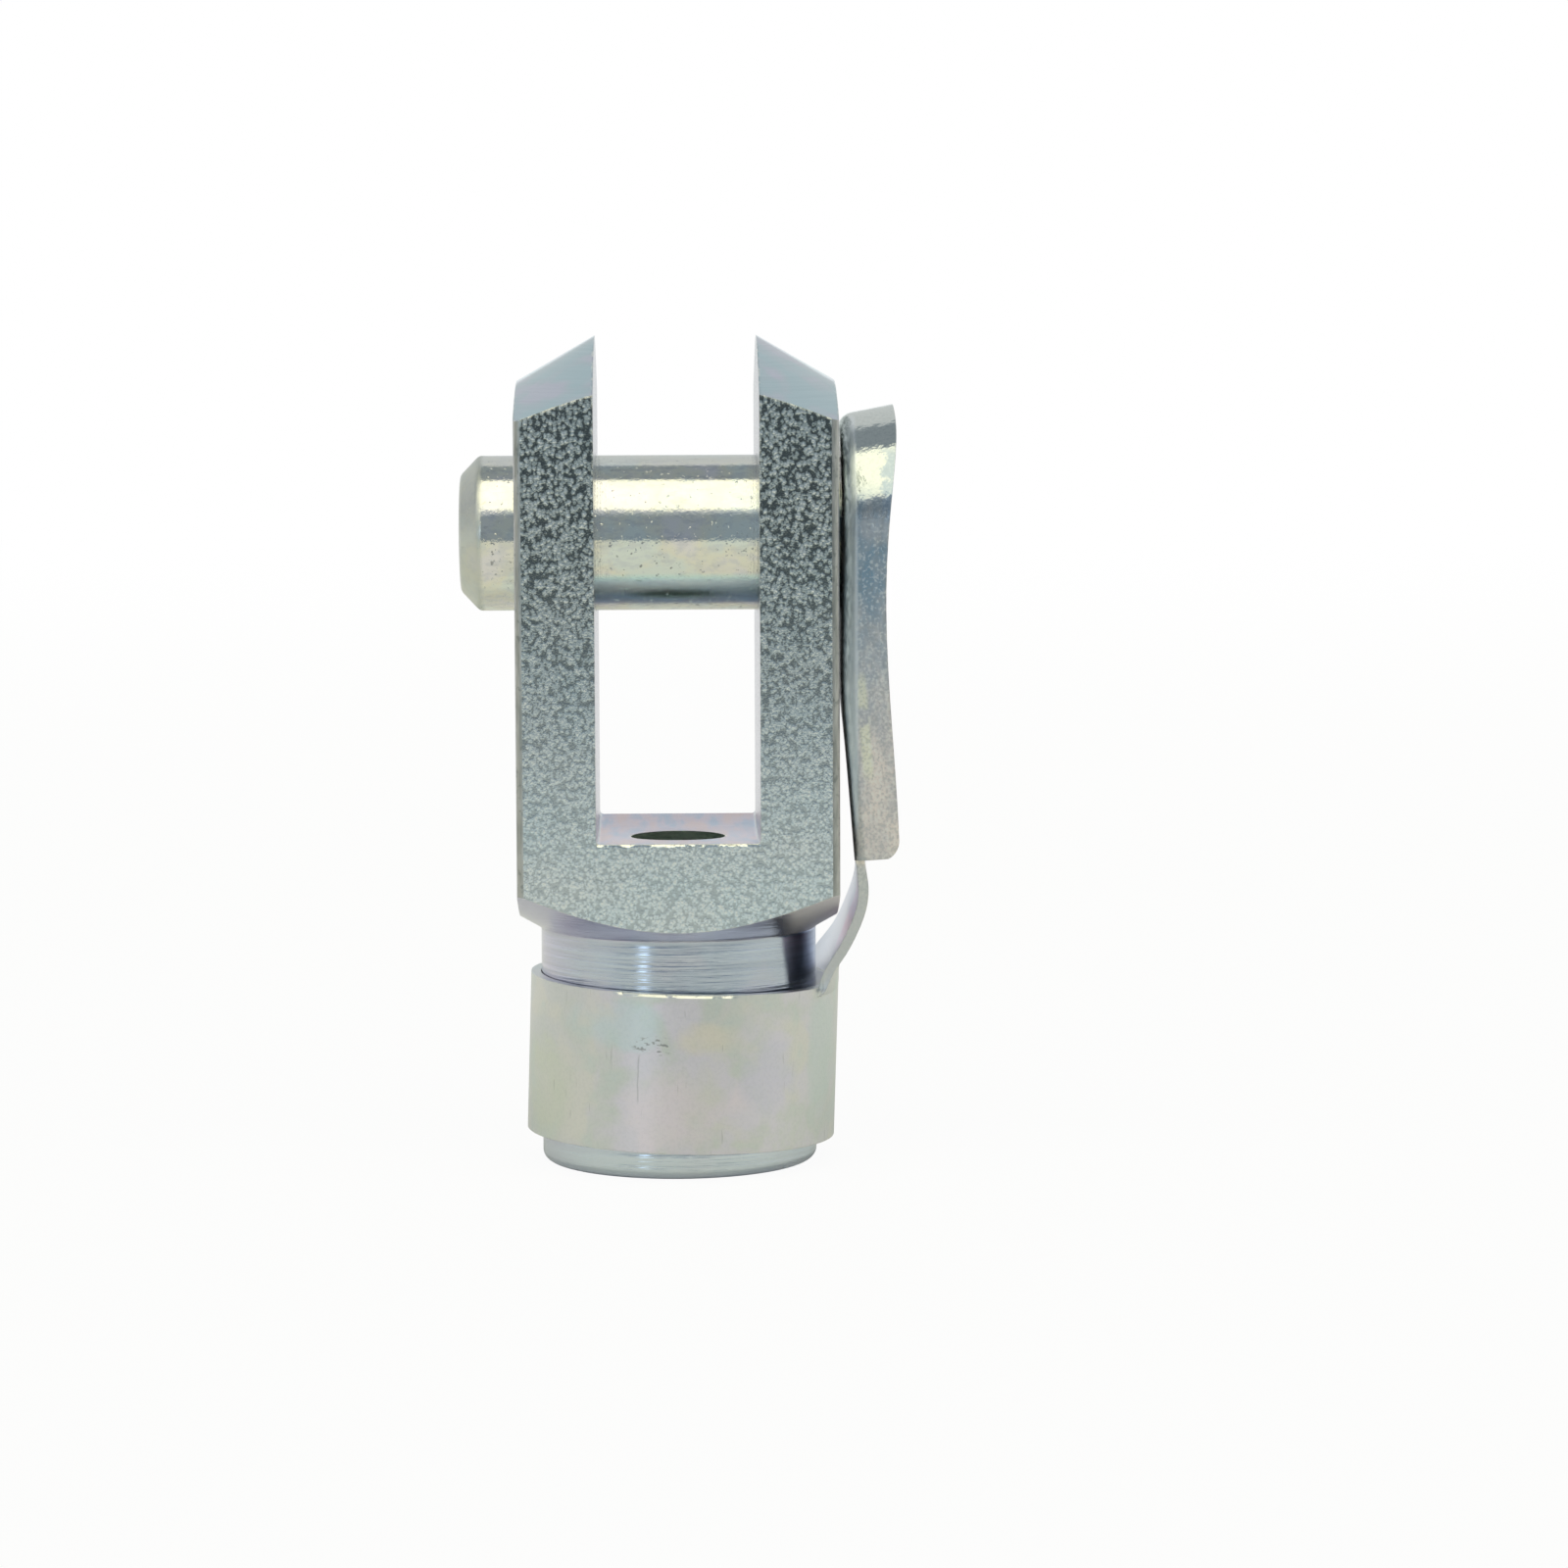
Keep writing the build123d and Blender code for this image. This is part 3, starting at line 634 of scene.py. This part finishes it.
def thread_cutter():
    """Helical groove of the rod thread, as a closed mesh that is cut from the fork.

    Its root is flat over an eighth of the pitch, and its flanks widen from there towards the bore.
    """
    half_root = PITCH / 16
    half_inner = half_root + (THREAD_ROOT - THREAD_INNER) * math.tan(math.radians(THREAD_FLANK))
    profile = [
        (THREAD_INNER, -half_inner),
        (THREAD_ROOT, -half_root),
        (THREAD_ROOT, half_root),
        (THREAD_INNER, half_inner),
    ]
    turns = (THREAD_END - THREAD_START) / PITCH
    count = int(turns * THREAD_STEPS)
    mesh = bmesh.new()
    rings = []
    for step in range(count + 1):
        angle = 2 * math.pi * step / THREAD_STEPS
        height = THREAD_START + PITCH * step / THREAD_STEPS
        fade = min(1.0, (count - step) / THREAD_STEPS + THREAD_LEAST)
        ring = []
        for reach, offset in profile:
            reach = THREAD_INNER + (reach - THREAD_INNER) * fade
            place = (reach * math.cos(angle), reach * math.sin(angle), height + offset)
            ring.append(mesh.verts.new(Vector(place) * MM))
        rings.append(ring)
    for one, two in zip(rings, rings[1:]):
        for k in range(len(profile)):
            after = (k + 1) % len(profile)
            mesh.faces.new((one[k], one[after], two[after], two[k]))
    mesh.faces.new(rings[0][::-1])
    mesh.faces.new(rings[-1])
    bmesh.ops.recalc_face_normals(mesh, faces=mesh.faces)
    data = bpy.data.meshes.new("thread_cutter")
    mesh.to_mesh(data)
    mesh.free()
    cutter = bpy.data.objects.new("thread_cutter", data)
    bpy.context.scene.collection.objects.link(cutter)
    return cutter


def fork_zone(face):
    """Which finish a face of the fork has: 0 flat, 1 turned, 2 slot, 3 rounded bar edge, 4 rod hole."""
    x, y, z = (abs(value / MM) for value in face.center)
    nx, ny, nz = (abs(value) for value in face.normal)
    if (nx > 0.995 and x > BAR_HALF - 0.05) or (ny > 0.995 and y > BAR_HALF - 0.05):
        return 0
    if nz < 0.05 and min(x, y) > BAR_HALF - EDGE_ROUND:
        return 3
    in_slot = x < SLOT_HALF + 0.03 and z > SLOT_FLOOR - 0.1
    side = in_slot and nx > 0.9 and x > SLOT_HALF - 0.05
    floor = in_slot and face.normal.z > 0.1 and z < SLOT_FLOOR + 1.5
    if side or floor:
        return 2
    inner = math.hypot(x, y) < BORE_ZONE and 0.05 < z < SLOT_FLOOR
    return 4 if inner and (nz < 0.98 or z > 1.0) else 1


def welded_copy(data):
    """Copy of a mesh, with the vertices that share a place made one."""
    copy = data.copy()
    mesh = bmesh.new()
    mesh.from_mesh(copy)
    bmesh.ops.remove_doubles(mesh, verts=mesh.verts, dist=WELD)
    mesh.to_mesh(copy)
    mesh.free()
    return copy


def cut_thread(fork):
    """Cut the thread in the fork's bore."""
    cutter = thread_cutter()
    cut = fork.modifiers.new("thread", "BOOLEAN")
    cut.operation = "DIFFERENCE"
    cut.solver = "EXACT"
    cut.object = cutter
    graph = bpy.context.evaluated_depsgraph_get()
    result = bpy.data.meshes.new_from_object(fork.evaluated_get(graph))
    fork.modifiers.clear()
    fork.data = result
    bpy.data.objects.remove(cutter)


def shade_smooth(fork):
    """Smooth shading between sharp edges, with the slivers that the cut leaves taken out."""
    data = fork.data
    data.polygons.foreach_set("use_smooth", [True] * len(data.polygons))
    data.attributes.remove(data.attributes["custom_normal"])
    mesh = bmesh.new()
    mesh.from_mesh(data)
    bmesh.ops.dissolve_degenerate(mesh, edges=mesh.edges, dist=WELD)
    for edge in mesh.edges:
        edge.smooth = edge.calc_face_angle(0.0) < math.radians(SHARP_ANGLE)
    mesh.to_mesh(data)
    mesh.free()
    even = fork.modifiers.new("even_shading", "WEIGHTED_NORMAL")
    even.keep_sharp = True
    even.weight = 100


def threaded_fork():
    """The CAD fork with the thread cut in its bore, and a finish for each kind of face."""
    fork = bpy.data.objects.new("fork_with_thread", welded_copy(nodes["clevis_fork"].data))
    bpy.context.scene.collection.objects.link(fork)
    cut_thread(fork)
    shade_smooth(fork)
    fork.data.materials.clear()
    for finish in (flat_material, turned_material, slot_material, edge_material, bore_material):
        fork.data.materials.append(finish())
    for face in fork.data.polygons:
        face.material_index = fork_zone(face)
    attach(fork, "fork")
    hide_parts("clevis_fork")


def dress(piece, material):
    """Give a piece one material."""
    piece.data.materials.clear()
    piece.data.materials.append(material)


def make_floor():
    """White floor with a faint shadow. Far back the camera and the metal see it as plain white."""
    corners = [
        (-FLOOR_SIDE, FLOOR_NEAR, 0),
        (FLOOR_SIDE, FLOOR_NEAR, 0),
        (FLOOR_SIDE, FLOOR_FAR, 0),
        (-FLOOR_SIDE, FLOOR_FAR, 0),
    ]
    data = bpy.data.meshes.new("floor")
    data.from_pydata(corners, [], [(0, 1, 2, 3)])
    floor = bpy.data.objects.new("floor", data)
    bpy.context.scene.collection.objects.link(floor)
    material = bpy.data.materials.new("floor_white")
    tree = emptied_tree(material)
    path = tree.add("ShaderNodeLightPath").outputs
    diffuse = tree.add("ShaderNodeBsdfDiffuse", inputs={"Color": colour((0.92, 0.91, 0.87))})
    glow = tree.add("ShaderNodeEmission", inputs={"Color": colour(WHITE), "Strength": 1.0})
    depth = tree.split(tree.add("ShaderNodeTexCoord").outputs["Object"])[1]
    seen = tree.times(path["Is Camera Ray"], tree.span(depth, 0.10, 0.60, 0.94, 1.0))
    mirrored = tree.times(path["Is Glossy Ray"], tree.span(depth, 0.02, 0.20, 0.0, 0.9))
    tree.blend(tree.total(seen, mirrored), diffuse, glow, "ShaderNodeOutputMaterial")
    dress(floor, material)


def make_studio():
    """The studio that the metal mirrors, as bands of light on the world. The camera sees white."""
    world = bpy.data.worlds.new("studio")
    bpy.context.scene.world = world
    tree = emptied_tree(world)
    dx, dy, dz = tree.split(tree.add("ShaderNodeTexCoord").outputs["Generated"])
    forward = tree.times(dy, -1.0)
    elevation = tree.math("DEGREES", tree.math("ARCSINE", dz))
    azimuth = tree.math("DEGREES", tree.math("ARCTAN2", dx, forward))
    pitch = tree.math("DEGREES", tree.math("ARCTAN2", dz, forward))

    # Softbox above the front, strip light at the front left, and a white backdrop
    softbox = tree.times(tree.band(pitch, 38, 86, 2), tree.span(tree.math("ABSOLUTE", dx), 0.75, 0.60))
    strip = tree.times(tree.band(azimuth, -32, -27, 2), tree.band(elevation, -3, 14, 4))
    backdrop = tree.times(tree.span(dy, 0.70, 0.88), tree.band(elevation, -20, 8, 4))

    # Dark room behind the camera and overhead, and a little at the left
    dark_front = tree.times(tree.span(elevation, 37, 27), tree.span(dy, -0.35, -0.85))
    overhead = tree.band(pitch, 89, 120, 3)
    left = tree.span(dx, -0.80, -0.96)
    level = tree.total(
        ROOM_LEVEL,
        tree.times(softbox, SOFTBOX_LEVEL),
        tree.times(dark_front, DARK_FRONT_LEVEL),
        tree.times(overhead, OVERHEAD_LEVEL),
        tree.times(strip, STRIP_LEVEL),
        tree.times(backdrop, BACKDROP_LEVEL),
        tree.times(left, LEFT_LEVEL))
    tint = tree.mix(dark_front, (0.94, 0.99, 0.98), (0.83, 1.0, 1.11))
    tint = tree.mix(overhead, tint, (0.90, 1.05, 1.13))
    tint = tree.mix(softbox, tint, (1.0, 1.0, 0.79))
    studio = tree.add("ShaderNodeBackground", inputs={"Color": tint, "Strength": level})
    white = tree.add("ShaderNodeBackground", inputs={"Color": colour(WHITE), "Strength": 1.0})
    seen = tree.add("ShaderNodeLightPath").outputs["Is Camera Ray"]
    tree.blend(seen, studio, white, "ShaderNodeOutputWorld")


bpy.context.scene.view_settings.view_transform = "Standard"
make_camera()
make_floor()
make_studio()
threaded_fork()
for name, slot, material in (
    ("clip_pin", "pin_zinc", pin_material()),
    ("clip_spring", "clip_zinc", clip_material()),
):
    dress(nodes[name], material)
